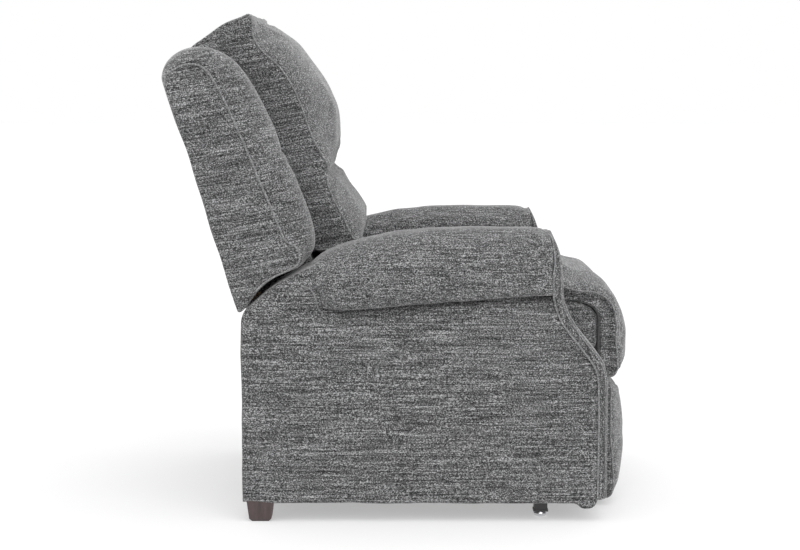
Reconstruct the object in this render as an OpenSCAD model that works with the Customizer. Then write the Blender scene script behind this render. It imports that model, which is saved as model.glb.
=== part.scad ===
// Upholstered power recliner armchair, drawn upright with the leg rest closed.
// X is forward, Y is to the sitter's left, Z is up, the floor is Z = 0. Millimetres.
// Every outline is a side outline in X and Z, extruded along Y.

/* [Widths] */
// Width of the seat between the arms
seat_width = 512; // [470:1:600]
// Running gap between the seat and each arm
arm_gap = 6; // [5:1:10]
// Thickness of an arm below its roll
arm_thick = 156; // [120:1:190]
// How far the arm roll stands out past the side panel
roll_bulge = 12; // [4:1:20]
// How far the back's wing stops short of the side panel
wing_inset = 3; // [0:1:10]

/* [Recline] */
// Back hinge, distance behind the middle of the chair
hinge_back = 190; // [188:1:192]
// Back hinge, height above the floor
hinge_up = 320; // [318:1:322]
// How far the back leans over from upright
recline_deg = 36; // [30:1:36]
// Length of the arm below the hinge that drives the seat forward
drive_arm = 70; // [64:1:72]

/* [Leg rest] */
// Length of the two swinging links
link_length = 195; // [190:1:198]
// Angle of the swinging links when the leg rest is closed
link_closed_deg = -112; // [-114:1:-110]
// Distance between the two links along the carrier
link_pitch = 55; // [50:1:58]
// Distance between the two pivots on the leg rest bracket
bracket_pitch = 45; // [40:1:48]
// Width of a link
link_width = 22; // [18:1:22]
// Radius of the riveted pivots
pivot_r = 5; // [4:0.5:5.5]
// Radial running clearance of every pivot
running = 0.06; // [0.02:0.01:0.10]
// Thickness of the steel links and brackets
plate = 4; // [3:0.5:4]

/* [Cushions] */
// Thickness of the border strip down the front of each arm
border = 24; // [18:1:28]
// Half width of the head pillow
head_half = 256; // [230:1:258]
// Half width of the lumbar pillow
lumbar_half = 250; // [230:1:256]

/* [Colours] */
// Upholstery
fabric = "#8f8f92"; // [#8f8f92:Grey, #8a7a68:Taupe, #5c6875:Blue grey]
// Stained wooden feet
foot_wood = "#463a3b"; // [#463a3b:Espresso, #6b4a33:Walnut, #c09a6b:Oak]
// Bare timber of the frame
timber = "#c8a878"; // [#c8a878:Beech, #d8c49a:Pine]
// Painted steel
steel = "#3a3b3d"; // [#3a3b3d:Black, #8c8f93:Zinc]
// Plastic housings
plastic = "#222326"; // [#222326:Black, #55585c:Grey]

/* [Hidden] */
$fn = 48;

half = seat_width / 2;          // half width of the seat cushion
arm_in = half + arm_gap;        // inner face of an arm
arm_out = arm_in + arm_thick;   // outer face of the side panel
roll_out = arm_out + roll_bulge;

// The mechanism lies in flat layers outside the cushions: link A and the tube,
// link C, link B with the leg rest bracket, link D with the back bracket, seat plate.
function layer(k) = half - 36 + 6 * k;

function dir(a) = [cos(a), sin(a)];

// Recline geometry
hinge = [-hinge_back, hinge_up];
drive_pin = hinge + drive_arm * dir(270 - recline_deg / 2);
glide = 2 * drive_arm * sin(recline_deg / 2);   // how far the seat runs forward

// Leg rest geometry: two parallelograms in a row
tube_at = [330, 250];
board_pivot = [414, 215];
knee = tube_at + link_length * dir(link_closed_deg);
carrier_len = norm(board_pivot - knee);
carrier_dir = (board_pivot - knee) / carrier_len;
upper_pivot = tube_at + link_pitch * carrier_dir;
cross_pivot = knee + link_pitch * carrier_dir;
outer_pivot = cross_pivot + bracket_pitch * dir(link_closed_deg);
lower_pivot = board_pivot + bracket_pitch * dir(link_closed_deg);

// Actuators
crank_r = 50;
crank_pin = tube_at + crank_r * dir(-135);
leg_y = 80;        // leg rest actuator, to the sitter's left
back_y = -60;      // recline actuator, to the sitter's right

// Rear line of the upright back, leaning about eighteen degrees
function rear(z) = -342 - 0.326 * (z - 485.5);
function strip(a, b, z0, z1) =
    [[rear(z0) + a, z0], [rear(z0) + b, z0], [rear(z1) + b, z1], [rear(z1) + a, z1]];

// Side outlines -------------------------------------------------------------

// Edge that the arm roll and the side panel share
crease = [[318, 468], [195, 463], [134, 456], [67, 454], [1, 447], [-79, 437],
    [-155, 442], [-172, 479], [-184, 514]];

// Rear slope of the arm under the wing
rear_slope = [[-208, 513], [-241, 497], [-263, 481], [-295, 452.6], [-310.5, 440],
    [-316, 430.5], [-317.5, 415], [-317.5, 45]];

// Front edge of the arm, from the floor side up to the tip
front_edge = [[438, 45], [438, 275], [439, 295], [436, 316], [423.4, 348], [402, 371],
    [376, 404], [355, 440], [346.5, 470], [346, 500], [340, 551], [328, 595.5]];

// Rear edge of the border strip, measured from the strip's own thickness
strip_edge = [[438, 45], [438, 275], [439, 295], [434, 311], [427, 331], [408, 355],
    [380, 388], [358, 430], [346.5, 468], [346, 500], [340, 546], [328, 592]];
border_edge = [for (p = strip_edge) p - [border, 0]];

// Point of that edge at which the side panel ends and the roll begins
roll_from = 8;

arm_top = [[145, 603.5], [114, 604], [8, 597], [-95, 575.7], [-121, 569.5],
    [-152.7, 556.7], [-164, 545.8], [-184, 517]];

wing_line = [[-323, 437.8], [-342, 485.5], [-401, 666], [-425, 744], [-454, 829],
    [-480, 896], [-487.5, 923], [-480, 942], [-463, 961], [-438, 974], [-397, 980],
    [-371, 977], [-346, 964], [-327, 952], [-308, 933], [-289, 904], [-270, 873],
    [-248, 825], [-232, 788], [-217, 750], [-201, 706], [-188, 671], [-169, 600],
    [-167, 573], [-175, 546], [-184, 535], [-213, 517.5], [-244, 506.5], [-260, 497],
    [-287, 475], [-310.5, 449.5]];

pad_line = [[-163, 439.5], [-163, 530], [-148, 541], [-46, 545], [150, 548], [300, 543],
    [352, 536], [380, 531], [403, 517], [422, 502], [437.5, 485], [458.5, 462],
    [472, 439], [481.5, 414], [486.4, 385.5], [487.5, 368], [487, 352], [484.7, 325],
    [482, 304], [477, 289], [469, 280], [462, 276], [452, 278], [442, 292], [438.5, 340],
    [440.5, 386], [438, 416], [428, 429.5], [396, 435.5], [365, 439.5]];

core_line = [[-160, 391], [-160, 435], [364, 435], [395, 431], [424, 425], [433.6, 416],
    [436.5, 387], [434.7, 365], [430.6, 348], [426, 341], [408, 341], [407, 391]];

foot_line = [[446.5, 24], [466, 22], [473, 51], [480, 84], [485, 121], [485.7, 168],
    [479.7, 226], [474.4, 252], [468, 266], [446.5, 266]];

head_line = [[-428, 1006], [-339, 1057], [-319, 1061], [-299, 1048], [-275, 1036],
    [-251, 1022], [-228, 1003], [-196, 964], [-175, 935], [-156, 904], [-143, 875],
    [-135, 845], [-130, 817], [-128.6, 789], [-130, 761], [-134, 733], [-141, 721],
    [-160, 718], [-277, 722], [-281, 740], [-346, 940], [-352, 946], [-424, 948],
    [-442, 972], [-432, 993]];

lumbar_line = [[-141, 716], [-118, 703], [-94, 678], [-76, 646], [-57, 603],
    [-47, 560], [-52, 551.5], [-223, 551.5], [-274, 706], [-262, 716]];

// Builders ------------------------------------------------------------------

// Extrude a side outline between two Y planes
module slab(y0, y1) translate([0, y1, 0]) rotate([90, 0, 0])
    linear_extrude(height = y1 - y0) children();

// Put a left-hand part on the right
module on_right() mirror([0, 1, 0]) children();

// Round rod along Y
module rod(at, r, y0, y1) translate([at[0], y0, at[1]]) rotate([-90, 0, 0])
    cylinder(r = r, h = y1 - y0);

// Flat bar with round ends a little wider than its shank
module bar(p, q, w) {
    translate(p) circle(d = w);
    translate(q) circle(d = w);
    translate(p) rotate(atan2(q[1] - p[1], q[0] - p[0])) translate([0, 1 - w / 2])
        square([norm(q - p), w - 2]);
}

// Slot with round ends along X, cut for a stud of radius r that travels from a to b
module slot(a, b, z, r) {
    translate([a, z]) circle(r = r);
    translate([b, z]) circle(r = r);
    translate([a, z - r]) square([b - a, 2 * r]);
}

module hole(at, r) translate(at) circle(r = r);

module box(a, b) translate(a) cube([b[0] - a[0], b[1] - a[1], b[2] - a[2]]);

// Arms ----------------------------------------------------------------------

// Padded side box of an arm, open underneath, with a small padded toe in front
module arm_cover() color(fabric) difference() {
    union() {
        slab(arm_in, arm_out) polygon(concat(crease, rear_slope,
            [for (i = [0:roll_from]) border_edge[i] - [0.5, 0]]));
        slab(arm_in + 10, arm_out - 10) translate([394, 49]) circle(r = 18);
    }
    box([-235, arm_in + 28, 0], [230, arm_out - 28, 400]);
}

// Cross section of the roll, seen from the front
roll_cut = [[arm_in + 4, 430], [arm_in - 3, 462], [arm_in - 3, 578], [arm_in + 6, 592],
    [arm_in + 38, 603], [arm_in + 80, 606], [arm_in + 124, 600], [arm_in + 148, 586],
    [roll_out - 4, 558], [roll_out, 520], [roll_out, 490], [arm_out + 6, 462],
    [arm_out - 6, 430]];

module arm_roll() color(fabric) intersection() {
    slab(arm_in - 3, roll_out) polygon(concat(
        [for (i = [len(crease) - 1:-1:0]) crease[i] + [0, 1]],
        [for (i = [roll_from:len(border_edge) - 1]) border_edge[i] - [0.5, 0]], arm_top));
    translate([-200, 0, 0]) rotate([90, 0, 90]) linear_extrude(height = 560)
        polygon(roll_cut);
}

// The right roll carries the switch panel in a recess
module arm_roll_right() color(fabric) difference() {
    on_right() arm_roll();
    box([211, -arm_in - 4, 549], [289, -arm_in + 6, 575]);
}

module arm_band() color(fabric) slab(arm_in, arm_out)
    polygon(concat(front_edge, [for (i = [len(border_edge) - 1:-1:0]) border_edge[i]]));

// Side outline of the rear foot about its middle: tapered, with cut lower corners
foot_taper = [[-17, 0], [17, 0], [23, 6], [28, 45], [-28, 45], [-23, 6]];
foot_at = [-281, arm_out - 31];

// Tapered block foot
module rear_foot() color(foot_wood) intersection() {
    translate([foot_at[0], 0, 0]) slab(arm_in, arm_out) polygon(foot_taper);
    translate([-320, foot_at[1], 0]) rotate([90, 0, 90]) linear_extrude(height = 80)
        polygon(foot_taper);
}

leg_at = [304, 352];

// Square leg with a flange, standing on a domed glide
module front_leg() color(steel) {
    box([leg_at[0] - 14, leg_at[1] - 14, 16], [leg_at[0] + 14, leg_at[1] + 14, 45]);
    box([leg_at[0] - 15.5, leg_at[1] - 15.5, 12], [leg_at[0] + 15.5, leg_at[1] + 15.5, 16]);
}

module glide() color("silver") translate([leg_at[0], leg_at[1], 0])
    rotate_extrude() polygon([[0, 0], [9, 0], [13, 3], [14, 7], [12, 12], [0, 12]]);

// Fixed base ----------------------------------------------------------------

module cross_rail() color(timber) box([150, -arm_in, 90], [175, arm_in, 150]);

inlet_at = [-60, 110];

module apron() color(fabric) difference() {
    box([-317, -arm_in, 45], [-305, arm_in, 380]);
    box([-330, inlet_at[0] - 15, inlet_at[1] - 11], [-300, inlet_at[0] + 15, inlet_at[1] + 11]);
}

module power_inlet() color(plastic) difference() {
    union() {
        box([-325, inlet_at[0] - 14.5, inlet_at[1] - 10.5],
            [-298, inlet_at[0] + 14.5, inlet_at[1] + 10.5]);
        box([-321, inlet_at[0] - 19, inlet_at[1] - 15],
            [-317, inlet_at[0] + 19, inlet_at[1] + 15]);
    }
    box([-340, inlet_at[0] - 8, inlet_at[1] - 5], [-308, inlet_at[0] + 8, inlet_at[1] + 5]);
}

glide_z = 349;
glide_x = [-60, 200];

// Steel plate on the arm: holds the back's hinge pin and guides the seat
module base_plate() color(steel) {
    slab(half, arm_in) difference() {
        translate([-225, 296]) square([487, 78]);
        for (x = glide_x) slot(x - 0.5, x + glide + 0.5, glide_z, 6 + running);
    }
    rod(hinge, 8, layer(3) - 1, half);
}

module recline_motor() color(plastic) {
    box([-305, back_y - 8, 214], [80, back_y + 8, 230]);
    box([70, back_y - 25, 195], [150, back_y + 25, 262]);
    box([135, back_y - 20, 150], [172, back_y + 20, 200]);
    translate([108, back_y, 255]) cylinder(r = 22, h = 70);
}

module recline_carriage() color(steel) difference() {
    box([drive_pin[0] - 20, back_y - 20, 206], [drive_pin[0] + 20, back_y + 20, 266]);
    box([drive_pin[0] - 30, back_y - 8.3, 213.7], [drive_pin[0] + 30, back_y + 8.3, 230.3]);
    box([drive_pin[0] - 10.4, back_y - 30, 238.5], [drive_pin[0] + 10.4, back_y + 30, 280]);
}

// Switch --------------------------------------------------------------------

button_x = [220, 254];

module switch_panel() color(plastic) difference() {
    box([212, -arm_in - 3.5, 550], [288, -arm_in + 4.5, 574]);
    for (x = button_x) box([x - 0.4, -arm_in - 9, 554.6], [x + 26.4, -arm_in + 9, 569.4]);
}

module button(i) color("#3b3d40")
    box([button_x[i], -arm_in + 0.5, 555], [button_x[i] + 26, -arm_in + 6.5, 569]);

// Back ----------------------------------------------------------------------

// Lower edges of the two cross rails, and their height
rail_z = [650, 868];
rail_h = 40;

module back_post() color(timber) slab(layer(3) - 18, layer(3)) difference() {
    polygon(strip(12, 50, 440, 915));
    for (z = rail_z) polygon(strip(11, 32, z, z + rail_h));
}

module back_rail(z) color(timber) slab(-arm_out + 18, arm_out - 18)
    polygon(strip(12, 32, z, z + rail_h));

// Steel bracket: hinge at its middle, drive pin below, posts above
module back_bracket() color(steel) {
    slab(layer(3), layer(3) + plate) difference() {
        union() {
            polygon([[-210, 316], [-230, 452], [-292, 462], [-326, 570], [-300, 578],
                [-252, 520], [-200, 462], [-170, 330]]);
            hole(hinge, 20);
            bar(hinge, drive_pin, 26);
        }
        hole(hinge, 8 + running);
    }
    rod(drive_pin, 7, layer(3) + plate, layer(4) + plate + 0.5);
}

module drive_tube() color(steel) rod(drive_pin, 10, -layer(3), layer(3));

// Wing bolster with pockets for the two cross rails
module wing() color(fabric) difference() {
    slab(arm_in, arm_out - wing_inset) polygon(wing_line);
    for (z = rail_z) slab(arm_in - 1, arm_out - 17)
        polygon(strip(11, 33, z - 1, z + rail_h + 1));
}

module outer_back() color(fabric) slab(-arm_in + 2, arm_in - 2) polygon([[-323, 385],
    [-323, 438], [-342, 485.5], [-454, 829], [-480, 896], [-487, 925], [-483, 981],
    [-461, 1000], [-436, 1004], [-436, 996], [-457, 990], [-473, 975], [-476, 925],
    [-470, 900], [-444, 829], [-332, 487], [-319, 442], [-319, 385]]);

module back_core() color(fabric) slab(-layer(3) + 2, layer(3) - 2) polygon([
    [rear(935) + 52, 935], [rear(935) + 138, 935], [rear(548) + 138, 548], [-176, 546],
    [-176, 402], [-206, 402], [-206, 452], [rear(458) + 90, 458], [rear(458) + 52, 458]]);

module head_pillow() color(fabric) slab(-head_half, head_half) polygon(head_line);

module lumbar_pillow() color(fabric) slab(-lumbar_half, lumbar_half) polygon(lumbar_line);

// Seat ----------------------------------------------------------------------

// The seat frame: rear and front ends, lower and upper faces, thickness of its timber
seat_x = [-165, 405];
seat_z = [340, 390];
seat_wood = 20;

module seat_rail() color(timber)
    box([seat_x[0], layer(4) - seat_wood, seat_z[0]], [seat_x[1], layer(4), seat_z[1]]);

module seat_cross_rail(x) color(timber) box([x, -layer(4) + seat_wood, seat_z[0]],
    [x + seat_wood, layer(4) - seat_wood, seat_z[1]]);

spring_bends = 18;

// One sinuous spring as a flat zigzag ribbon along X
function zig(s) = [for (i = [0:spring_bends])
    [-145 + i * 530 / spring_bends, s + (i % 2 == 0 ? -18 : 18)]];

module seat_springs() color(steel) translate([0, 0, 384]) linear_extrude(height = 4) {
    for (y = [-160, -80, 0, 80, 160]) translate([0, y])
        polygon(concat(zig(-2), [for (i = [spring_bends:-1:0]) zig(2)[i]]));
    for (x = [27, 203]) translate([x, -178]) square([4, 356]);
}

module seat_core() color(fabric) slab(-half + 6, half - 6) polygon(core_line);

module seat_pad() color(fabric) slab(-half, half) polygon(pad_line);

// Steel side plate of the seat: leg rest pivots, glide studs and the drive slot
module seat_plate() color(steel) {
    slab(layer(4), layer(4) + plate) difference() {
        polygon([[-160, 372], [405, 372], [405, 305], [392, 268], [352, 226], [312, 226],
            [298, 262], [298, 326], [-110, 326], [-150, 224], [-236, 224], [-236, 292],
            [-170, 296], [-160, 330]]);
        hole(tube_at, 8 + running);
        hole(upper_pivot, 6 + running);
        translate([drive_pin[0] - 7.3, 241]) square([14.6, 22]);
    }
    for (x = glide_x) rod([x, glide_z], 6, layer(4) + plate, arm_in - 0.5);
}

module leg_motor() color(plastic) {
    box([-100, leg_y - 8, 160], [396, leg_y + 8, 176]);
    box([-150, leg_y - 25, 152], [-80, leg_y + 25, 215]);
    translate([-112, leg_y, 210]) cylinder(r = 22, h = 90);
    box([-160, leg_y - 15, 180], [-148, leg_y + 15, 340]);
    box([388, leg_y - 8, 160], [396, leg_y + 8, 340]);
}

module leg_carriage() color(steel) difference() {
    box([crank_pin[0] - 18, leg_y - 16, 152], [crank_pin[0] + 18, leg_y + 16, 228]);
    box([crank_pin[0] - 30, leg_y - 8.3, 159.7], [crank_pin[0] + 30, leg_y + 8.3, 176.3]);
    box([crank_pin[0] - 6.8, leg_y - 30, 193.5], [crank_pin[0] + 6.8, leg_y + 30, 240]);
}

// Leg rest ------------------------------------------------------------------

module torque_tube() color(steel) {
    rod(tube_at, 12, -layer(0), layer(0));
    for (s = [-1, 1]) slab(leg_y + s * 20 - 2, leg_y + s * 20 + 2)
        bar(tube_at, crank_pin, 18);
    rod(crank_pin, 5, leg_y - 21, leg_y + 21);
}

module link_a() color(steel) {
    slab(layer(0), layer(0) + plate) {
        bar(tube_at, knee, link_width);
        hole(tube_at, 15);
    }
    rod(tube_at, 8, layer(0) + plate, layer(4) + plate + 0.5);
    rod(knee, pivot_r, layer(0) + plate, layer(1) + plate + 0.8);
}

module link_b() color(steel) {
    slab(layer(2), layer(2) + plate) bar(upper_pivot, outer_pivot, link_width);
    rod(upper_pivot, 6, layer(2) + plate, layer(4) + plate + 0.5);
    rod(cross_pivot, pivot_r, layer(1) - 0.8, layer(2));
    rod(outer_pivot, pivot_r, layer(2) + plate, layer(3) + plate + 0.8);
}

module link_c() color(steel) {
    slab(layer(1), layer(1) + plate) difference() {
        bar(knee, board_pivot, link_width);
        hole(knee, pivot_r + running);
        hole(cross_pivot, pivot_r + running);
    }
    rod(board_pivot, pivot_r, layer(1) + plate, layer(2) + plate + 0.8);
}

module link_d() color(steel) slab(layer(3), layer(3) + plate) difference() {
    bar(outer_pivot, lower_pivot, link_width);
    hole(outer_pivot, pivot_r + running);
    hole(lower_pivot, pivot_r + running);
}

// Angle bracket that carries the leg rest board
module foot_bracket() color(steel) {
    slab(layer(2), layer(2) + plate) difference() {
        union() {
            bar(board_pivot, lower_pivot, 24);
            polygon([[402, 162], [432, 135], [432, 245], [414, 227]]);
        }
        hole(board_pivot, pivot_r + running);
    }
    box([428, layer(2) - 36, 135], [432, layer(2) + 1, 245]);
    rod(lower_pivot, pivot_r, layer(2) + plate, layer(3) + plate + 0.8);
}

module foot_board() color(timber) box([432, -half + 4, 24], [446, half - 4, 266]);

module foot_pad() color(fabric) slab(-half, half) polygon(foot_line);

arm_cover();  // arm_cover_left
on_right() arm_cover();  // arm_cover_right
arm_roll();  // arm_roll_left
arm_roll_right();
arm_band();  // arm_band_left
on_right() arm_band();  // arm_band_right
rear_foot();  // rear_foot_left
on_right() rear_foot();  // rear_foot_right
front_leg();  // front_leg_left
on_right() front_leg();  // front_leg_right
glide();  // glide_left
on_right() glide();  // glide_right
cross_rail();
apron();
base_plate();  // base_plate_left
on_right() base_plate();  // base_plate_right
recline_motor();
power_inlet();
switch_panel();
back_post();  // back_post_left
on_right() back_post();  // back_post_right
back_rail(rail_z[1]);  // back_rail_top
back_rail(rail_z[0]);  // back_rail_mid
back_bracket();  // back_bracket_left
on_right() back_bracket();  // back_bracket_right
drive_tube();
wing();  // wing_left
on_right() wing();  // wing_right
outer_back();
back_core();
head_pillow();
lumbar_pillow();
seat_rail();  // seat_rail_left
on_right() seat_rail();  // seat_rail_right
seat_cross_rail(seat_x[1] - seat_wood);  // seat_rail_front
seat_cross_rail(seat_x[0]);  // seat_rail_rear
seat_springs();
seat_core();
seat_pad();
seat_plate();  // seat_plate_left
on_right() seat_plate();  // seat_plate_right
leg_motor();
torque_tube();
link_a();  // link_a_left
on_right() link_a();  // link_a_right
link_b();  // link_b_left
on_right() link_b();  // link_b_right
link_c();  // link_c_left
on_right() link_c();  // link_c_right
link_d();  // link_d_left
on_right() link_d();  // link_d_right
foot_bracket();  // foot_bracket_left
on_right() foot_bracket();  // foot_bracket_right
foot_board();
foot_pad();
leg_carriage();
recline_carriage();
button(0);  // button_up
button(1);  // button_down
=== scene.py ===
import math

import bmesh
import bpy
import numpy as np
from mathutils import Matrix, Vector
from mathutils.bvhtree import BVHTree
from mathutils.kdtree import KDTree


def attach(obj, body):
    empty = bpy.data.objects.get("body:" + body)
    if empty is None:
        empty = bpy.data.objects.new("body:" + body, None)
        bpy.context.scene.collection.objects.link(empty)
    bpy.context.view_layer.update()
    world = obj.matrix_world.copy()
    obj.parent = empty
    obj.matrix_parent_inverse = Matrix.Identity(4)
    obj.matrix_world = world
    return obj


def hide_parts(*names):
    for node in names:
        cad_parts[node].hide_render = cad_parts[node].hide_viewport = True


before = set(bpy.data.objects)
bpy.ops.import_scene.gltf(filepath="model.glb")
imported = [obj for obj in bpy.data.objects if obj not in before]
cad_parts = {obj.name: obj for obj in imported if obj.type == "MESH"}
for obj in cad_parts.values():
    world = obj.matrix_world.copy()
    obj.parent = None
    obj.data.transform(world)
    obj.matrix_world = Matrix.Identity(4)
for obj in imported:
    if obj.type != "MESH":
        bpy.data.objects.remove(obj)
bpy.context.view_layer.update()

# A recliner armchair's padding and covers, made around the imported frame. Each soft piece
# starts from a side outline in mm: a cushion is lofted from it across the chair, remeshed
# and swollen by cloth simulation, and gets its seams, folds and welts last.

scene = bpy.context.scene
MM = 0.001                          # one millimetre in metres
VOXEL = 0.006   # grid of a remeshed cushion

SEAM_DEPTH, SEAM_WIDTH = 0.0032, 0.0055     # a cushion's sewn crease
SEAM_MARGIN = 3     # a cushion's side seams lie this far inside its side faces, in mm
TUCK_IN = 0.017     # distance from the seam to the pulled-in part of a side band
FULL = 12.5         # how far a full cushion is drawn in before it swells, in mm
PROUD = 1.5         # how far cushions and arm sides are made proud of their outlines, in mm


# ---------------------------------------------------------------- outlines

def spline(points, step=4.0, hard=42.0, closed=True):
    """Smooth line through (x, z, inset) points in mm. Sharp corners stay sharp."""
    p = np.array(points, float)
    m = len(p)
    nxt = np.roll(p, -1, 0)
    h = np.linalg.norm((nxt - p)[:, :2], axis=1)
    ang = np.degrees(np.arctan2((nxt - p)[:, 1], (nxt - p)[:, 0]))
    turn = np.abs((ang - np.roll(ang, 1) + 180) % 360 - 180)
    # Each stretch is a cubic, and its slopes t1 and t2 come from the points on either side
    out = []
    for i in range(m if closed else m - 1):
        j, k, g = (i + 1) % m, (i + 2) % m, (i - 1) % m
        p1, p2 = p[i], p[j]
        if turn[i] > hard or (not closed and i == 0):
            t1 = p2 - p1
        else:
            t1 = h[i] * ((p1 - p[g]) / h[g] * h[i] + (p2 - p1) / h[i] * h[g]) / (h[g] + h[i])
        if turn[j] > hard or (not closed and i == m - 2):
            t2 = p2 - p1
        else:
            t2 = h[i] * ((p2 - p1) / h[i] * h[j] + (p[k] - p2) / h[j] * h[i]) / (h[i] + h[j])
        n = max(2, int(h[i] / step))
        for s in np.arange(n) / n:
            out.append(p1 * (2 * s**3 - 3 * s**2 + 1) + t1 * (s**3 - 2 * s**2 + s)
                       + p2 * (3 * s**2 - 2 * s**3) + t2 * (s**3 - s**2))
    if not closed:
        out.append(p[-1])
    return np.array(out)


def even(p, n, closed=True):
    """n points evenly spaced along a line."""
    q = np.vstack([p, p[:1]]) if closed else p
    s = np.concatenate([[0], np.cumsum(np.linalg.norm(np.diff(q[:, :2], axis=0), axis=1))])
    t = np.linspace(0, s[-1], n, endpoint=not closed)
    return np.stack([np.interp(t, s, q[:, c]) for c in range(q.shape[1])], 1)


def inward(p):
    """Unit normals of a closed line that point to its inside, a little smoothed."""
    d = np.roll(p[:, :2], -2, 0) - np.roll(p[:, :2], 2, 0)
    x, z = p[:, 0], p[:, 1]
    area = np.sum(x * np.roll(z, -1) - np.roll(x, -1) * z)
    n = np.stack([-d[:, 1], d[:, 0]], 1) * (1 if area > 0 else -1)
    for _ in range(3):
        n = (np.roll(n, 1, 0) + 2 * n + np.roll(n, -1, 0)) / 4
    return n / np.maximum(np.linalg.norm(n, axis=1, keepdims=True), 1e-9)


def at_width(line, y):
    """The x and z points of a side line, moved out to y."""
    return np.stack([line[:, 0], np.full(len(line), y), line[:, 1]], 1)


def ease(t):
    """A smooth step from 0 to 1."""
    return t * t * (3 - 2 * t)


# ---------------------------------------------------------------- meshes

def link(name, data):
    """A new object in the scene from a mesh, light or camera."""
    ob = bpy.data.objects.new(name, data)
    scene.collection.objects.link(ob)
    return ob


def closed_piece(name, vertices, faces):
    """An object from a closed set of faces, with its normals facing out."""
    mesh = bpy.data.meshes.new(name)
    mesh.from_pydata(vertices.tolist(), [], faces)
    bm = bmesh.new()
    bm.from_mesh(mesh)
    bmesh.ops.recalc_face_normals(bm, faces=bm.faces)
    bm.to_mesh(mesh)
    bm.free()
    return link(name, mesh)


def skin(rings, sides):
    """Faces that join each ring of points to the next, with both ends closed."""
    faces = [(a * sides + i, a * sides + (i + 1) % sides,
              (a + 1) * sides + (i + 1) % sides, (a + 1) * sides + i)
             for a in range(rings - 1) for i in range(sides)]
    last = (rings - 1) * sides
    return faces + [tuple(range(sides))[::-1], tuple(last + i for i in range(sides))]


def from_rings(name, rings):
    """A closed object from rings of points in mm, with flat ends."""
    return closed_piece(name, np.vstack(rings) * MM, skin(len(rings), len(rings[0])))


def apply(ob):
    """Turn an object's modifiers into its mesh."""
    bpy.context.view_layer.update()
    ev = ob.evaluated_get(bpy.context.evaluated_depsgraph_get())
    mesh = bpy.data.meshes.new_from_object(ev)
    ob.modifiers.clear()
    old, ob.data = ob.data, mesh
    bpy.data.meshes.remove(old)
    mesh.name = ob.name


def points_of(ob):
    """A mesh's points, one row each."""
    c = np.empty(len(ob.data.vertices) * 3)
    ob.data.vertices.foreach_get("co", c)
    return c.reshape(-1, 3)


def set_points(ob, c):
    """Put points back into a mesh."""
    ob.data.vertices.foreach_set("co", np.ascontiguousarray(c).ravel())
    ob.data.update()


def normals_of(ob):
    """The normal at each of a mesh's points."""
    n = np.empty(len(ob.data.vertices) * 3)
    ob.data.vertex_normals.foreach_get("vector", n)
    return n.reshape(-1, 3)


def remesh(ob, rounds, voxel=VOXEL):
    """Even quads, with the edges rounded by a few rounds of smoothing."""
    m = ob.modifiers.new("remesh", "REMESH")
    m.mode = "VOXEL"
    m.voxel_size = voxel
    s = ob.modifiers.new("smooth", "SMOOTH")
    s.factor = 0.5
    s.iterations = rounds
    apply(ob)


def subdivide(ob):
    m = ob.modifiers.new("sub", "SUBSURF")
    m.levels = m.render_levels = 1
    apply(ob)


def shade(ob):
    """Smooth shading on all faces."""
    ob.data.polygons.foreach_set("use_smooth", [True] * len(ob.data.polygons))
    ob.data.update()


def distance(points, line):
    """Distance of each point from a list of points, and the nearest one's index."""
    kd = KDTree(len(line))
    for i, q in enumerate(line):
        kd.insert(q, i)
    kd.balance()
    found = [kd.find(c) for c in points]
    return np.array([f[2] for f in found]), np.array([f[1] for f in found])


def inflate(ob, pins, cap, slack, pressure=4.0, reach=0.006, frames=20):
    """Blow a closed fabric cover up by cloth simulation, held along its seams."""
    start = points_of(ob)
    d, _ = distance(start, pins)
    w = np.clip(1.6 - d / reach, 0, 1)
    group = ob.vertex_groups.new(name="pin")
    for i in np.nonzero(w > 0.01)[0]:
        group.add([int(i)], float(w[i]), "REPLACE")
    mod = ob.modifiers.new("cloth", "CLOTH")
    s = mod.settings
    s.quality = 4
    s.mass = 0.3
    s.tension_stiffness = s.compression_stiffness = 18
    s.shear_stiffness = 8
    s.bending_stiffness = 0.8
    s.use_pressure = True
    s.uniform_pressure_force = pressure
    s.shrink_min = -slack
    s.effector_weights.gravity = 0
    s.vertex_group_mass = "pin"
    mod.collision_settings.use_collision = False
    mod.collision_settings.use_self_collision = False
    mod.point_cache.frame_start, mod.point_cache.frame_end = 1, frames
    for f in range(1, frames + 1):
        scene.frame_set(f)
    apply(ob)
    ob.vertex_groups.clear()
    move = points_of(ob) - start
    size = np.linalg.norm(move, axis=1, keepdims=True)
    set_points(ob, start + move * np.minimum(1, cap / np.maximum(size, 1e-9)))
    scene.frame_set(1)


def waves(points, length, seed, count=18):
    """Smooth seeded noise of about unit height with features of that length in metres."""
    rng = np.random.default_rng(seed)
    k = rng.normal(size=(count, 3))
    k *= (2 * math.pi / np.array(length)) / 1.7
    ph = rng.uniform(0, 2 * math.pi, count)
    return np.sin(points @ k.T + ph).sum(1) / math.sqrt(count)


def rumple(ob, height, length, seed, where=None):
    """Low swells and dents in the fabric."""
    points = points_of(ob)
    h = waves(points, length, seed) * height
    if where is not None:
        h = h * where(points)
    set_points(ob, points + normals_of(ob) * h[:, None])


def groove(ob, line, depth, width):
    """Pull the fabric in along a seam."""
    points = points_of(ob)
    d, _ = distance(points, line)
    g = depth * np.exp(-((d / width) ** 2))
    set_points(ob, points - normals_of(ob) * g[:, None])


def on_surface(ob, line, lift):
    """The line's points moved to the nearest place on a piece, and the normals there."""
    bvh = BVHTree.FromObject(ob, bpy.context.evaluated_depsgraph_get())
    pts, nrm = [], []
    for q in line:
        p, n, _, _ = bvh.find_nearest(Vector(q))
        pts.append(p + n * lift)
        nrm.append(n)
    return np.array(pts), np.array(nrm)


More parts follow.
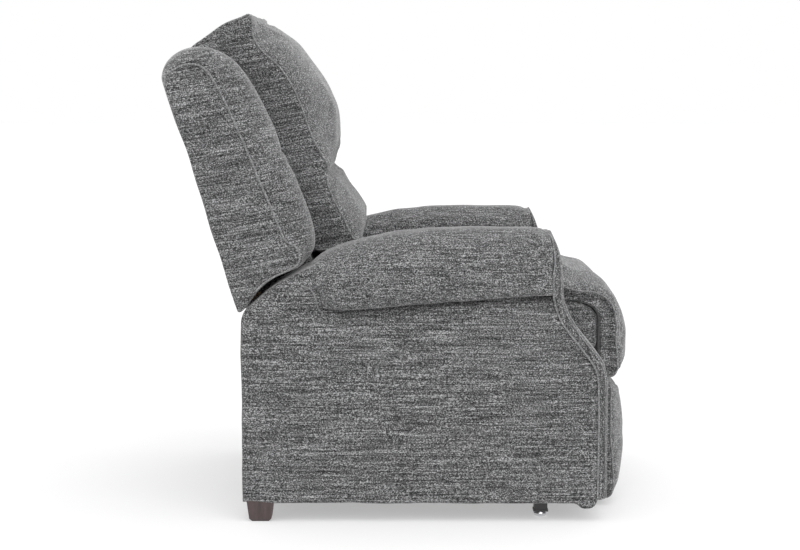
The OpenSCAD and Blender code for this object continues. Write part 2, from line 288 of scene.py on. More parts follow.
def dense(line, step):
    """A 3-D line resampled at an even step, in metres."""
    s = np.concatenate([[0], np.cumsum(np.linalg.norm(np.diff(line, axis=0), axis=1))])
    t = np.linspace(0, s[-1], max(2, int(s[-1] / step)))
    return np.stack([np.interp(t, s, line[:, c]) for c in range(3)], 1)


def tube(line, radius, normals, sides=8):
    """Rings of a round cord along a line, each one turned to its normal."""
    tangent = np.gradient(line, axis=0)
    tangent /= np.maximum(np.linalg.norm(tangent, axis=1, keepdims=True), 1e-12)
    across = np.cross(tangent, normals)
    across /= np.maximum(np.linalg.norm(across, axis=1, keepdims=True), 1e-9)
    up = np.cross(across, tangent)
    angle = np.arange(sides) * 2 * math.pi / sides
    return (line[:, None] + radius * (np.cos(angle)[None, :, None] * across[:, None]
                                      + np.sin(angle)[None, :, None] * up[:, None]))


def welt(name, ob, line, radius, lift):
    """A raised seam that lies on a piece along a line."""
    points, normals = on_surface(ob, dense(line, 0.004), lift)
    for _ in range(3):
        mid = (np.roll(points, 1, 0) + 2 * points + np.roll(points, -1, 0)) / 4
        points = np.vstack([points[:1], mid[1:-1], points[-1:]])
    rings = tube(points, radius, normals)
    n, sides = rings.shape[:2]
    return closed_piece(name, rings.reshape(-1, 3), skin(n, sides))


def mirrored(ob, name):
    """The same piece on the other side of the chair."""
    mesh = ob.data.copy()
    mesh.name = name
    twin = link(name, mesh)
    set_points(twin, points_of(twin) * (1, -1, 1))
    mesh.flip_normals()
    mesh.update()
    return twin


# ---------------------------------------------------------------- materials

def material(name):
    """A material with one Principled shader: itself, its node tree and the shader."""
    m = bpy.data.materials.new(name)
    m.use_nodes = True
    tree = m.node_tree
    tree.nodes.clear()
    out = tree.nodes.new("ShaderNodeOutputMaterial")
    shader = tree.nodes.new("ShaderNodeBsdfPrincipled")
    tree.links.new(shader.outputs[0], out.inputs[0])
    return m, tree, shader


def node(tree, kind, **values):
    """A new shader node with its inputs or its settings given by name."""
    n = tree.nodes.new("ShaderNode" + kind)
    for k, v in values.items():
        if k in n.inputs:
            n.inputs[k].default_value = v
        else:
            setattr(n, k, v)
    return n


def noise(tree, vec, scale, detail, rough):
    """Noise with its own scale along each axis, in features per metre."""
    n = node(tree, "TexNoise", Detail=detail, Roughness=rough, Scale=1.0)
    mp = node(tree, "Mapping")
    mp.inputs["Scale"].default_value = scale
    tree.links.new(vec, mp.inputs["Vector"])
    tree.links.new(mp.outputs[0], n.inputs["Vector"])
    return n.outputs[0]


def math_node(tree, op, a, b=None, c=None):
    """One Math node on numbers or other nodes' outputs."""
    n = node(tree, "Math", operation=op)
    for i, x in enumerate((a, b, c)):
        if x is None:
            continue
        if isinstance(x, (int, float)):
            n.inputs[i].default_value = x
        else:
            tree.links.new(x, n.inputs[i])
    return n.outputs[0]


def ramp(tree, fac, stops):
    """A colour ramp with (place, colour) stops."""
    n = node(tree, "ValToRGB")
    el = n.color_ramp.elements
    while len(el) < len(stops):
        el.new(0.5)
    for e, (pos, col) in zip(el, stops):
        e.position = pos
        e.color = (*col, 1) if len(col) == 3 else col
    tree.links.new(fac, n.inputs[0])
    return n.outputs[0]


def fabric(name, grain, lean=0.0, tone=1.0, streak=1.0, flat=0.0, faces=""):
    """Slubbed chenille weave. grain is the axis that the slub yarns run along, and faces
    the axis that a bulging panel faces, along which the slubs hardly change."""
    m, tree, shader = material(name)
    vec = node(tree, "TexCoord").outputs["Object"]
    if lean:
        rot = node(tree, "Mapping")
        rot.inputs["Rotation"].default_value = (0, lean, 0)
        tree.links.new(vec, rot.inputs["Vector"])
        vec = rot.outputs[0]

    def along(slow, fast, deep=None):
        return tuple(slow if a == grain else deep if deep and a == faces else fast
                     for a in "xyz")

    layers = (
        (0.35 * streak, noise(tree, vec, along(15, 390, 25), 2, 0.55)),   # long slub yarns
        (0.44, noise(tree, vec, along(300, 430, 200), 1, 0.5)),           # single picks
        (0.52, noise(tree, vec, (520, 520, 520), 1, 0.5)),                # fuzz
        (0.05, noise(tree, vec, along(7, 24), 2, 0.5)),                   # uneven dye
    )
    total = math_node(tree, "MULTIPLY", layers[0][1], layers[0][0])
    for weight, layer in layers[1:]:
        total = math_node(tree, "MULTIPLY_ADD", layer, weight, total)
    mid = 0.5 * sum(weight for weight, _ in layers)
    spread = 0.091      # about how far the sum strays from its middle
    t = [(mid - 1.7 * spread, 0.010), (mid - 0.8 * spread, 0.036), (mid, 0.090),
         (mid + 0.8 * spread, 0.190), (mid + 1.7 * spread, 0.400)]
    t = [(p, tone * (v + flat * (t[2][1] - v))) for p, v in t]
    col = ramp(tree, total, [(p, (v, v, v * 1.015)) for p, v in t])
    tree.links.new(col, shader.inputs["Base Color"])
    shader.inputs["Roughness"].default_value = 0.95
    shader.inputs["Specular IOR Level"].default_value = 0.2
    shader.inputs["Sheen Weight"].default_value = 0.35
    shader.inputs["Sheen Roughness"].default_value = 0.45
    bump = node(tree, "Bump", Strength=0.55, Distance=0.0012)
    tree.links.new(total, bump.inputs["Height"])
    tree.links.new(bump.outputs[0], shader.inputs["Normal"])
    return m


def painted(name, colour, rough, fleck=0.12, metal=0.0):
    """Enamel or moulded plastic with a fine texture and slight wear."""
    m, tree, shader = material(name)
    vec = node(tree, "TexCoord").outputs["Object"]
    big = noise(tree, vec, (38, 38, 38), 4, 0.6)
    small = noise(tree, vec, (900, 900, 900), 2, 0.5)
    lo = tuple(c * (1 - fleck) for c in colour)
    hi = tuple(min(1, c * (1 + 2 * fleck)) for c in colour)
    tree.links.new(ramp(tree, big, [(0.35, lo), (0.65, hi)]), shader.inputs["Base Color"])
    r = math_node(tree, "MULTIPLY_ADD", big, 0.18, rough - 0.09)
    tree.links.new(r, shader.inputs["Roughness"])
    shader.inputs["Metallic"].default_value = metal
    bump = node(tree, "Bump", Strength=0.25, Distance=0.0003)
    tree.links.new(small, bump.inputs["Height"])
    tree.links.new(bump.outputs[0], shader.inputs["Normal"])
    return m


def wood(name, dark, light, rough, axis="y"):
    """Grain that runs along one axis."""
    m, tree, shader = material(name)
    vec = node(tree, "TexCoord").outputs["Object"]
    s = tuple(6 if a == axis else 130 for a in "xyz")
    rings = noise(tree, vec, s, 4, 0.6)
    pores = noise(tree, vec, tuple(40 if a == axis else 1500 for a in "xyz"), 2, 0.5)
    mix = math_node(tree, "MULTIPLY_ADD", pores, 0.35, math_node(tree, "MULTIPLY", rings, 0.75))
    tree.links.new(ramp(tree, mix, [(0.40, dark), (0.70, light)]), shader.inputs["Base Color"])
    r = math_node(tree, "MULTIPLY_ADD", pores, 0.2, rough - 0.1)
    tree.links.new(r, shader.inputs["Roughness"])
    bump = node(tree, "Bump", Strength=0.3, Distance=0.0004)
    tree.links.new(mix, bump.inputs["Height"])
    tree.links.new(bump.outputs[0], shader.inputs["Normal"])
    return m


LEAN = math.radians(10)
weave_x = fabric("weave_along_x", "x")
weave_side = fabric("weave_side_panel", "x", faces="y")
weave_lean = fabric("weave_across_back", "x", lean=LEAN, faces="y")
weave_y = fabric("weave_along_y", "y")
weave_z = fabric("weave_along_z", "z", streak=0.7)
# The welts' weave is 1.9 times lighter and flatter than the rest of the cover: a painted
# highlight along the raised seams.
seam_highlight_mat = fabric("weave_seam_painted_highlight", "z", tone=1.9, streak=0.5, flat=0.55)
timber_mat = wood("timber", (0.42, 0.27, 0.15), (0.66, 0.47, 0.29), 0.6)
foot_mat = wood("stained_wood", (0.040, 0.027, 0.027), (0.078, 0.052, 0.050), 0.42, "z")
steel_mat = painted("black_enamel", (0.045, 0.045, 0.05), 0.38, metal=0.3)
leg_mat = painted("leg_enamel", (0.030, 0.030, 0.032), 0.35)
plastic_mat = painted("moulded_plastic", (0.022, 0.022, 0.025), 0.55)
button_mat = painted("button_plastic", (0.06, 0.06, 0.066), 0.45)
chrome_mat = painted("chrome", (0.72, 0.72, 0.74), 0.12, 0.05, metal=1.0)


# ---------------------------------------------------------------- soft shapes

HALF = 256      # half width of the seat
IN, OUT, ROLL = 262, 418, 430       # inner and outer face of an arm, and the roll's bulge

# Side outlines in mm: x, z and how far the side seam lies inside the crown.

HEAD = [(-443, 960, 0), (-432, 982, 1), (-407, 999, 1), (-387, 1014, 1), (-365, 1028, 1),
        (-343, 1038, 1), (-322, 1045, -1), (-309, 1049, -5), (-294, 1041, 8), (-278, 1031, 24),
        (-255, 1016, 37), (-226, 994, 40), (-198, 962, 39), (-175, 928, 39), (-152, 890, 45),
        (-135, 853, 48), (-128, 810, 42), (-127, 781, 32), (-129, 750, 16), (-135, 726, 5),
        (-146, 714, 0), (-272, 713, 0), (-284, 745, 0), (-346, 938, 0), (-360, 947, 0),
        (-420, 950, 0)]

LUMBAR = [(-268, 716, 0), (-150, 719, 0), (-140, 716, 4), (-129, 700, 10), (-107, 675, 18),
          (-82, 643, 24), (-60, 605, 28), (-50, 570, 25), (-56, 556, 20), (-72, 549, 14),
          (-98, 548, 8), (-222, 548, 0)]

WING = [(-323, 436, 0), (-342, 486, 2), (-401, 666, 4), (-425, 744, 4), (-454, 829, 5),
        (-479, 893, 8), (-488, 921, 12), (-483, 948, 22), (-465, 971, 28), (-432, 987, 32),
        (-396, 990, 36), (-365, 983, 42), (-332, 962, 50), (-305, 931, 55), (-280, 889, 58),
        (-253, 834, 60), (-232, 788, 61), (-211, 735, 61), (-187, 676, 60), (-167, 622, 58),
        (-158, 590, 54), (-159, 564, 44), (-170, 543, 26), (-190, 530, 8), (-220, 518, 3),
        (-249, 506, 2), (-278, 485, 2), (-301, 457, 1), (-311, 443, 0)]

PAD = [(-160, 452, 0), (-160, 528, 6), (-146, 541, 14), (-60, 546, 24), (80, 548, 26),
       (220, 546, 28), (300, 539, 28), (345, 519, 26), (386, 501, 24), (431, 495, 22),
       (467, 475, 20), (488, 446, 17), (494, 413, 15), (497, 383, 15), (497, 352, 16),
       (496, 322, 14), (487, 292, 9), (475, 279, 4), (461, 275, 2), (448, 280, 0),
       (440, 300, 0), (436, 345, 0), (437, 386, 0), (433, 416, 0), (420, 432, 0),
       (396, 440, 0), (340, 443, 0), (-146, 443, 0)]

CORE = [(-158, 388, 0), (-158, 441, 2), (330, 444, 4), (385, 443, 8), (422, 434, 12),
        (438, 414, 14), (441, 388, 14), (439, 360, 12), (431, 341, 8), (414, 334, 2),
        (300, 334, 0), (300, 388, 0)]

FOOT = [(425, 18, 0), (452, 17, 0), (465, 20, 1), (474, 36, 6), (482, 64, 14), (488, 104, 20),
        (489, 150, 24), (486, 198, 22), (480, 234, 18), (472, 258, 10), (462, 267, 4),
        (446, 269, 0), (425, 269, 0)]


def crown(t, power):
    """Height of the crown across a cushion: it leaves both side seams at an angle."""
    return 1 - min(1.0, abs(t)) ** power


def softness(inset):
    """0 along crisp edges and 1 where the cover swells."""
    return np.clip(inset / 18, 0, 1)


def cushion(name, outline, y0, y1, power, shrink, rings=34, n=150):
    """A crowned cushion. The outline is full in the middle of its width and moves in
    by each point's inset at its two side seams."""
    p = even(spline(outline), n)
    nrm = inward(p)
    out = []
    for t in -np.cos(np.linspace(0, math.pi, rings)):
        y = (y0 + y1) / 2 + t * (y1 - y0) / 2
        move = p[:, 2] * (1 - crown(t, power)) + shrink * softness(p[:, 2]) - PROUD
        out.append(at_width(p[:, :2] + nrm * move[:, None], y))
    return from_rings(name, out)


def side_seam(outline, y, shrink, n=220):
    """The closed line of a cushion's side seam, in metres."""
    p = even(spline(outline), n)
    move = p[:, 2] + shrink * softness(p[:, 2]) - PROUD
    return at_width(p[:, :2] + inward(p) * move[:, None], y) * MM


def crisp_line(outline, limit=9.0, n=220):
    """The part of an outline that keeps its crisp edge, as x and z in metres."""
    p = even(spline(outline), n)
    return p[p[:, 2] < limit][:, :2] * MM


def part_of(line, test):
    """The longest run of a closed line's points that pass a test."""
    ok = np.array([test(*q) for q in line])
    if ok.all():
        return line
    start = int(np.nonzero(~ok)[0][0])
    best, run = [], []
    for i in np.roll(np.arange(len(line)), -start):
        if ok[i]:
            run.append(i)
        else:
            best = max(best, run, key=len)
            run = []
    return line[max(best, run, key=len)]


def inside(points, polygon):
    """Whether each x, z point lies inside a closed x, z polygon."""
    x, z = points[:, 0], points[:, 1]
    hit = np.zeros(len(points), bool)
    a = polygon
    b = np.roll(polygon, -1, 0)
    for (x1, z1), (x2, z2) in zip(a, b):
        if z1 == z2:
            continue
        cross = (z1 > z) != (z2 > z)
        hit ^= cross & (x < (x2 - x1) * (z - z1) / (z2 - z1) + x1)
    return hit


def panel(ob, seam, y_min, mat):
    """Give the side panels inside a side seam their own weave."""
    n = len(ob.data.polygons)
    c = np.empty(n * 3)
    ob.data.polygons.foreach_get("center", c)
    c = c.reshape(-1, 3)
    side = inside(c[:, [0, 2]], seam[:, [0, 2]]) & (np.abs(c[:, 1]) > y_min)
    ob.data.materials.append(mat)
    ob.data.polygons.foreach_set("material_index", side.astype(np.int32))


def keep_crisp(ob, before, lines, reach=0.045):
    """Take back the swelling near the crisp edges."""
    points = points_of(ob)
    kd = KDTree(len(lines))
    for i, (x, z) in enumerate(lines):
        kd.insert((x, 0, z), i)
    kd.balance()
    d = np.array([kd.find((x, 0, z))[2] for x, _, z in before])
    w = ease(np.clip(d / reach, 0, 1))
    set_points(ob, before + (points - before) * w[:, None])


def gather(ob, line, depth, pitch, width, seed):
    """Small folds that run out from a seam."""
    points = points_of(ob)
    line = dense(line, 0.003)
    d, i = distance(points, line)
    rng = np.random.default_rng(seed)
    s = i * 0.003
    wave = np.zeros(len(points))
    for _ in range(5):
        wave += np.sin(2 * math.pi * s / (pitch * rng.uniform(0.7, 1.6))
                       + rng.uniform(0, 6.28) + d * rng.uniform(-60, 60))
    strength = 0.55 + 0.45 * np.sin(2 * math.pi * s / (pitch * 7.3) + rng.uniform(0, 6.28))
    h = depth * wave / 2.2 * strength * np.exp(-((d - width * 0.5) / width) ** 2)
    set_points(ob, points + normals_of(ob) * h[:, None])


def towards_middle(line):
    """Directions in the side plane from a seam towards the middle of its panel."""
    way = line.mean(0) - line
    t = np.gradient(line, axis=0)
    n = np.stack([-t[:, 2], np.zeros(len(t)), t[:, 0]], 1)
    n /= np.maximum(np.linalg.norm(n, axis=1, keepdims=True), 1e-9)
    return n * np.sign((n * way).sum(1, keepdims=True))


def finish_piece(ob, body, mat, replaces=()):
    """Dress a fabric piece and say what it is to the frame."""
    shade(ob)
    ob.data.materials.clear()
    ob.data.materials.append(mat)
    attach(ob, body)
    if replaces:
        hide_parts(*replaces)


def seam_piece(name, ob, line, body, radius=0.0021, lift=0.0010):
    """A welt that rides with the piece it is sewn to, in a lighter weave that is a painted
    highlight on the raised cord.
    """
    finish_piece(welt(name, ob, line, radius, lift), body, seam_highlight_mat)


def pillow(name, outline, half, body, node_name, cap, front, side_mat, shrink=FULL,
           power=4.0, folds=0.0010, seed=1, piped=True, tuck=0.0):
    """A boxed cushion with a seam along the edge of each side panel. front picks the part
    of the seam that is creased, folded and piped, and tuck pulls in the band beside it."""
    seam_y = half - SEAM_MARGIN
    ob = cushion(name, outline, -seam_y, seam_y, power, shrink, rings=40)
    remesh(ob, rounds=2)
    before = points_of(ob)
    seams = [side_seam(outline, s * seam_y, shrink) for s in (-1, 1)]
    inflate(ob, np.vstack(seams), cap=cap, slack=0.02)
    keep_crisp(ob, before, crisp_line(outline, 1.5), 0.03)
    points = points_of(ob)
    points[:, 1] = np.clip(points[:, 1], (2 - half) * MM, (half - 2) * MM)
    set_points(ob, points)
    subdivide(ob)
    shown = [part_of(s, front) for s in seams]
    for s in shown:
        groove(ob, s, SEAM_DEPTH, SEAM_WIDTH)
        if tuck:
            groove(ob, s + towards_middle(s) * TUCK_IN, tuck, 0.012)
        gather(ob, s, folds, 0.014, 0.014, seed)
    rumple(ob, 0.0012, 0.11, seed + 20)
    finish_piece(ob, body, weave_y, [node_name])
    panel(ob, seams[0], (half - 45) * MM, side_mat)
    if piped:
        for s, side in zip(shown, ("right", "left")):
            seam_piece(f"{name}_welt_{side}", ob, s, body)


# Where the cushions' seams show, in metres

def in_front_of_back(x, y, z):
    return x + 0.33 * (z - 0.735) > -0.245 and z < 1.056


def below_head(x, y, z):
    return x > -0.17 and z < 0.713


def on_top_or_front(x, y, z):
    return z > 0.447 or x > 0.446 or x + 0.5 * z > 0.650


def past_the_arm(x, y, z):
    return x > 0.3 and z > 0.36


def before_the_board(x, y, z):
    return x > 0.4495


pillow("head_cushion", HEAD, 256, "back", "head_pillow", 0.014, in_front_of_back,
       weave_lean, seed=2)
pillow("lumbar_cushion", LUMBAR, 256, "back", "lumbar_pillow", 0.014, below_head,
       weave_lean, seed=3)
pillow("seat_cushion", PAD, HALF, "seat", "seat_pad", 0.014, on_top_or_front,
       weave_side, power=5.0, folds=0.0042, seed=4, tuck=0.008)
pillow("seat_foam", CORE, 252, "seat", "seat_core", 0.008, past_the_arm, weave_side,
       shrink=2, power=5.0, folds=0.0008, piped=False)
pillow("foot_cushion", FOOT, HALF, "leg_rest", "foot_pad", 0.010, before_the_board,
       weave_side, shrink=3, power=5.0, folds=0.0006)


def make_wing():
    """The left wing and the front run of its outer seam. It is full in front and has a
    flat side panel inside a seam that arches over the top."""
    ob = cushion("wing_cushion_left", WING, IN + 2, OUT - 2, 3.0, FULL)
    remesh(ob, rounds=2)
    before = points_of(ob)
    outer = side_seam(WING, OUT - 2, FULL)
    inner = side_seam(WING, IN + 2, FULL)
    inflate(ob, np.vstack([outer, inner]), cap=0.014, slack=0.02)
    keep_crisp(ob, before, crisp_line(WING))
    subdivide(ob)
    front = part_of(outer, lambda x, y, z: x + 0.33 * (z - 0.485) > -0.29 or z > 0.90)
    groove(ob, front, 0.0028, 0.0055)
    gather(ob, front, 0.0007, 0.015, 0.012, 6)
    top = part_of(outer, lambda x, y, z: z > 0.915)
    gather(ob, top, 0.0016, 0.017, 0.020, 7)
    rumple(ob, 0.0012, 0.12, 5)
    return ob, front


wing_l, wing_seam = make_wing()
wing_r = mirrored(wing_l, "wing_cushion_right")
for ob, side, sign in ((wing_l, "left", 1), (wing_r, "right", -1)):
    finish_piece(ob, "back", weave_lean, [f"wing_{side}"])
    seam_piece(f"wing_welt_{side}", ob, wing_seam * (1, sign, 1), "back")


# ---------------------------------------------------------------- arms

CREASE = [(-215, 448), (-150, 447), (-79, 445), (1, 453), (67, 459), (134, 463), (195, 468),
          (325, 475)]
TOP = [(-215, 505), (-193, 517), (-180, 524), (-168, 535), (-158, 545), (-146, 553),
       (-121, 562), (-95, 571), (-50, 583), (8, 594), (70, 601), (145, 603.5), (250, 602),
       (322, 602)]
EDGE = [(438, 50), (438, 275), (438, 295), (435, 312), (428, 335), (414, 355), (396, 377),
        (374, 407), (356, 437), (346, 467), (343.5, 498), (342, 531), (338, 556),
        (332, 575), (321, 602)]
BORDER = [(417, 45), (417, 275), (416, 300), (412, 318), (400, 338), (378, 367), (346, 408),
          (331, 437), (323, 468), (322, 490), (323, 520), (325, 545), (322.5, 575), (318, 602)]


def height_at(line, x):
    """Height of a line at x."""
    return np.interp(x, [q[0] for q in line], [q[1] for q in line])


def x_at(line, z):
    """X of a rising line at a height."""
    return np.interp(z, [q[1] for q in line], [q[0] for q in line])


# Cross section of the arm roll: across the arm from its inner to its outer face, and
# the height between the crease (0) and the top (1)
SECTION = [(IN + 4, -0.16), (IN - 1, 0.04), (IN - 3, 0.30), (IN - 3, 0.62), (IN, 0.78),
           (IN + 12, 0.90), (IN + 36, 0.975), (IN + 72, 1.0), (IN + 108, 0.975),
           (IN + 138, 0.89), (IN + 156, 0.76), (IN + 165, 0.60), (ROLL, 0.42),
           (ROLL + 3, 0.22), (ROLL + 3, 0.08), (ROLL, -0.02), (OUT + 5, -0.035),
           (OUT - 1, 0.03), (OUT - 12, 0.05), (OUT - 26, -0.16)]

# The line on the outer face where the roll's rear end swells out of the side panel
SWELL = [(-148, 437), (-156, 446), (-161, 458), (-166, 473), (-171, 484), (-180, 490),
         (-194, 493), (-202, 520)]


def make_roll():
    """The left arm's roll, which swells out of the side panel along its crease."""
    tall = 150                  # height that the section's points are spread at
    rear, front = -205, 322     # the roll's ends
    sec = even(spline([(y, h * tall, 0) for y, h in SECTION], step=6), 120)
    rings = []
    for u in np.linspace(0, 1, 84):
        x = rear + u * (front - rear)
        low, high = height_at(CREASE, x), height_at(TOP, x)
        height = low + sec[:, 1] / tall * (high - low)
        swell = ease(np.clip((x - x_at(SWELL, height)) / 45, 0, 1))
        y = np.where(sec[:, 0] > OUT - 6, OUT - 6 + (sec[:, 0] - OUT + 6) * swell, sec[:, 0])
        z = height - 2.5 * (1 - swell)
        end = x_at(BORDER[3:], z)
        rings.append(np.stack([rear + u * (end - rear), y, z], 1))
    ob = from_rings("arm_cushion_left", rings)
    remesh(ob, voxel=0.8 * VOXEL, rounds=1)
    low_out = []
    low_in = []
    for r in rings:
        down = r[:, 2] - r[:, 2].min()
        low_out.append(r[np.argmin(np.abs(r[:, 1] - OUT) + 0.5 * np.abs(down))])
        low_in.append(r[np.argmin(r[:, 1] + 0.5 * r[:, 2])])
    held = (rings[0], rings[-1], np.array(low_out), np.array(low_in))
    inflate(ob, np.vstack([dense(q * MM, 0.004) for q in held]), cap=0.006, slack=0.015)
    subdivide(ob)
    rumple(ob, 0.0010, 0.10, 11)
    points = points_of(ob)
    points[:, 1] = np.maximum(points[:, 1], (IN - 3.2) * MM)
    set_points(ob, points)
    return ob


roll_l = make_roll()

SIDE = [(-317.5, 41, 0), (-317.5, 300, 0), (-317.5, 408, 0), (-316, 428, 0), (-309, 440, 0),
        (-295, 452, 0), (-263, 480, 0), (-241, 496, 0), (-209, 513, 0), (-194, 521, 0),
        (-180, 528, 0), (-168, 533, 0), (-158, 541, 0), (-148, 545, 0), (-138, 530, 0),
        (-120, 490, 0), (-79, 470, 0), (67, 480, 0), (134, 484, 0), (306, 492, 0),
        (322, 484, 0), (326, 456, 0), (334, 434, 0), (349, 408, 0), (381, 367, 0),
        (403, 338, 0), (415, 318, 0), (419, 300, 0), (419, 275, 0), (419, 54, 0),
        (416, 39, 0), (408, 30, 0), (396, 27, 0), (385, 30, 0), (377, 40, 0)]


def rounded(name, line, widths, radius, proud):
    """A closed object from a side line, a little proud of it, with its edges rounded at
    the first and the last of its widths."""
    nrm = inward(line)
    rings = []
    for y in widths:
        d = min(y - widths[0], widths[-1] - y, radius)
        inset = radius - math.sqrt(max(0, radius**2 - (radius - d) ** 2)) - proud
        rings.append(at_width(line[:, :2] + nrm * inset, y))
    return from_rings(name, rings)


def make_side():
    """The left arm's side panel and core, grooved along the crease."""
    radius = 5.0
    widths = [*np.linspace(IN, IN + radius, 4), *np.linspace(IN + 20, OUT - 20, 6),
              *np.linspace(OUT - radius, OUT, 5)]
    line = even(spline(SIDE, hard=35), 300)
    ob = rounded("arm_side_left", line, widths, radius, PROUD)
    remesh(ob, rounds=1)

    def outer_middle(points):
        return np.clip((points[:, 1] / MM - 380) / 40, 0, 1)

    subdivide(ob)
    crease = np.array([(x, OUT, z) for x, z in CREASE[1:]]) * MM
    groove(ob, dense(crease, 0.004), 0.014, 0.012)
    rumple(ob, 0.0014, 0.20, 3, outer_middle)
    rumple(ob, 0.0006, 0.06, 4, outer_middle)
    return ob


side_l = make_side()


# The border's outer and inner face against the height, in mm
BORDER_OUT = [(45, OUT + 2), (450, OUT + 2), (470, OUT + 7), (500, ROLL + 1), (535, ROLL + 1),
              (556, ROLL - 4), (575, ROLL - 16), (588, ROLL - 32), (600, ROLL - 70)]
BORDER_IN = [(45, IN), (462, IN - 2), (540, IN - 3), (560, IN), (578, IN + 12),
             (590, IN + 28), (600, IN + 55)]

# Its cross section, from the rear (0) to the front edge (1) and from the inner (0) to the
# outer face (1). The two seams run along the points 10 and 8.
STRIP = ((0, 0), (0.35, 0), (0.75, 0.008), (0.95, 0.03), (1, 0.09), (1, 0.5), (1, 0.91),
         (0.95, 0.97), (0.75, 0.992), (0.35, 1), (0, 1), (0, 0.5))


def make_front():
    """The front border, which follows the arm's S shaped edge, and its two seams."""
    front, rear = [even(spline([(x, z, 0) for x, z in line], closed=False), 130, closed=False)
                   for line in (EDGE, BORDER)]
    rings = []
    for e, b in zip(front[:, :2], rear[:, :2]):
        z = (e[1] + b[1]) / 2
        wide, slim = height_at(BORDER_OUT, z), height_at(BORDER_IN, z)
        cross = []
        for s, t in STRIP:
            q = b + (e - b) * s
            cross.append((q[0], slim + (wide - slim) * t, q[1]))
        rings.append(np.array(cross))
    ob = from_rings("arm_front_left", rings)
    remesh(ob, voxel=0.0040, rounds=2)
    seams = [np.array([r[k] for r in rings]) * MM for k in (10, 8)]
    return ob, *seams


front_l, seam_in, seam_out = make_front()
groove(front_l, seam_in + np.array([0.0045, 0, 0]), 0.0016, 0.0022)

rear_seam = np.array([(x, OUT, z) for x, z in SWELL[:-1]]) * MM

for side, sign in (("left", 1), ("right", -1)):
    if side == "left":
        roll, body_side, band = roll_l, side_l, front_l
    else:
        roll = mirrored(roll_l, "arm_cushion_right")
        body_side = mirrored(side_l, "arm_side_right")
        band = mirrored(front_l, "arm_front_right")
    finish_piece(roll, "frame", weave_x, [f"arm_roll_{side}"])
    finish_piece(body_side, "frame", weave_side, [f"arm_cover_{side}"])
    finish_piece(band, "frame", weave_z, [f"arm_band_{side}"])
    flip = np.array([1, sign, 1])
    seam_piece(f"arm_welt_{side}", band, seam_in * flip, "frame", 0.0020)
    seam_piece(f"arm_edge_welt_{side}", band, seam_out * flip, "frame", 0.0014)
    seam_piece(f"arm_rear_welt_{side}", body_side, rear_seam * flip, "frame", 0.0015)


# ---------------------------------------------------------------- plainer padding

def block(name, outline, half, mat, body, nodes, seed):
    """A fabric-covered board or block with rounded side edges."""
    radius = 6.0
    widths = [*np.linspace(-half, -half + radius, 4), *np.linspace(-half + 30, half - 30, 9),
              *np.linspace(half - radius, half, 4)]
    line = even(spline([(x, z, 0) for x, z in outline], hard=30), 180)
    ob = rounded(name, line, widths, radius, 1)
    remesh(ob, voxel=0.005, rounds=3)
    rumple(ob, 0.0012, 0.18, seed)
    finish_piece(ob, body, mat, nodes)


def rear(z):
    """X of the upright back's rear line."""
    return -342 - 0.326 * (z - 485.5)


# The outer back goes over the top of the frame and ends under the head pillow
SHELL = [(rear(425) + 4, 425), (rear(600), 600), (rear(800), 800), (rear(885), 885),
         (-476, 915), (-475, 936), (-466, 953), (-448, 965), (-426, 976), (-404, 986),
         (-386, 990), (-372, 984), (-372, 955), (-430, 945), (-455, 925),
         (rear(880) + 18, 880), (rear(600) + 16, 600), (rear(425) + 18, 425)]
block("outer_back_panel", SHELL, IN + 3, weave_y, "back", ["outer_back"], seed=31)

FOAM = [(rear(470) + 16, 470), (rear(700) + 14, 700), (rear(930) + 14, 930), (-440, 962),
        (-352, 960), (-338, 940), (-274, 740), (-220, 562), (-184, 545), (-178, 520),
        (-178, 412), (-184, 404), (-199, 404), (-205, 412), (-207, 452), (-243, 462)]
block("back_foam", FOAM, IN + 1, weave_lean, "back",
      ["back_core", "back_rail_mid", "back_rail_top"], seed=32)


def make_apron():
    """The lower rear panel: the CAD's own shape with the socket's hole, edges rounded."""
    name = "rear_apron"
    bm = bmesh.new()
    bm.from_mesh(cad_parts["apron"].data)
    mesh = bpy.data.meshes.new(name)
    bm.to_mesh(mesh)
    bm.free()
    ob = link(name, mesh)
    remesh(ob, voxel=0.004, rounds=3)
    rumple(ob, 0.0008, 0.14, 12)
    finish_piece(ob, "frame", weave_y, ["apron"])


make_apron()


# ---------------------------------------------------------------- CAD nodes that stay

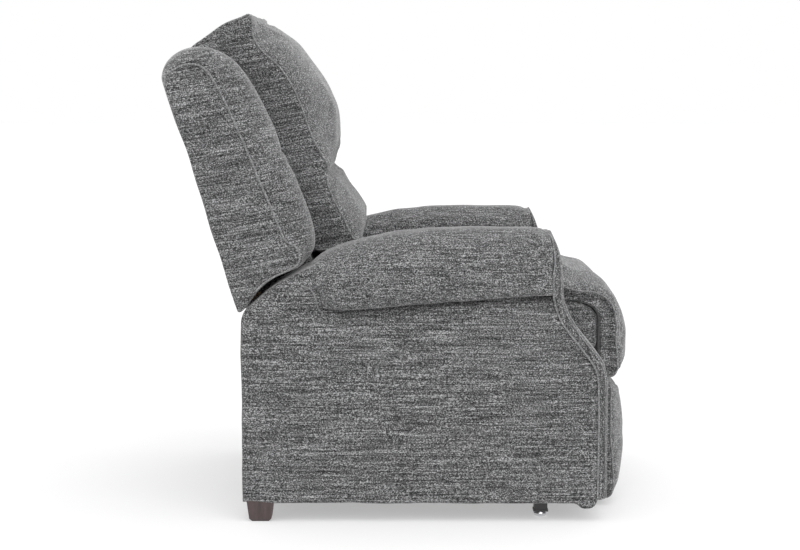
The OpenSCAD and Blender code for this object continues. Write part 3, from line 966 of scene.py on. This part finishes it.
looks = {
    "cross_rail": timber_mat, "back_post_left": timber_mat, "back_post_right": timber_mat,
    "seat_rail_left": weave_x, "seat_rail_right": weave_x, "seat_rail_front": weave_y,
    "seat_rail_rear": weave_y,
    "foot_board": weave_y, "rear_foot_left": foot_mat, "rear_foot_right": foot_mat,
    "front_leg_left": leg_mat, "front_leg_right": leg_mat, "glide_left": chrome_mat,
    "glide_right": chrome_mat, "recline_motor": plastic_mat, "leg_motor": plastic_mat,
    "power_inlet": plastic_mat, "switch_panel": plastic_mat, "button_up": button_mat,
    "button_down": button_mat,
}
for name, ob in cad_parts.items():
    if ob.hide_render:
        continue
    mat = looks.get(name, steel_mat)
    ob.data.materials.clear()
    ob.data.materials.append(mat)


# ---------------------------------------------------------------- studio

def make_floor():
    """A pale paper floor, which glows a little so that it fades into the white world."""
    size = 30
    corners = [(-size, -size, 0), (size, -size, 0), (size, size, 0), (-size, size, 0)]
    mesh = bpy.data.meshes.new("floor")
    mesh.from_pydata(corners, [], [(0, 1, 2, 3)])
    mat, tree, shader = material("floor_paper")
    vec = node(tree, "TexCoord").outputs["Object"]
    n = noise(tree, vec, (3, 3, 3), 3, 0.5)
    pale = (0.49, 0.49, 0.49)
    tree.links.new(ramp(tree, n, [(0.3, tuple(c * 0.985 for c in pale)), (0.7, pale)]),
                 shader.inputs["Base Color"])
    shader.inputs["Roughness"].default_value = 0.9
    shader.inputs["Specular IOR Level"].default_value = 0.1
    shader.inputs["Emission Color"].default_value = (1, 1, 1, 1)
    shader.inputs["Emission Strength"].default_value = 0.40
    mesh.materials.append(mat)
    link("floor", mesh)


make_floor()

scene.view_settings.view_transform = "Standard"
world = bpy.data.worlds.new("studio")
scene.world = world
world.use_nodes = True
background = world.node_tree.nodes["Background"]
background.inputs["Color"].default_value = (1, 1, 1, 1)
background.inputs["Strength"].default_value = 1.0


def sun(name, toward, spread, strength):
    """A soft light from a direction, as wide as its spread in degrees."""
    light = bpy.data.lights.new(name, "SUN")
    light.angle = math.radians(spread)
    light.energy = strength
    ob = link(name, light)
    ob.rotation_euler = Vector(toward).to_track_quat("Z", "Y").to_euler()


sun("key", (0.12, -0.78, 0.80), 60, 1.15)
sun("top", (0.30, 0.05, 1.0), 90, 0.7)

# The camera stands to the chair's right and looks a little down at it
LOOK_DOWN = 5.72    # degrees
lens = bpy.data.cameras.new("camera")
lens.lens = 92.8
lens.sensor_width = 36
camera = link("camera", lens)
camera.location = (0.009, -4.618, 0.936)
camera.rotation_euler = (math.radians(90 - LOOK_DOWN), 0, 0)
scene.camera = camera
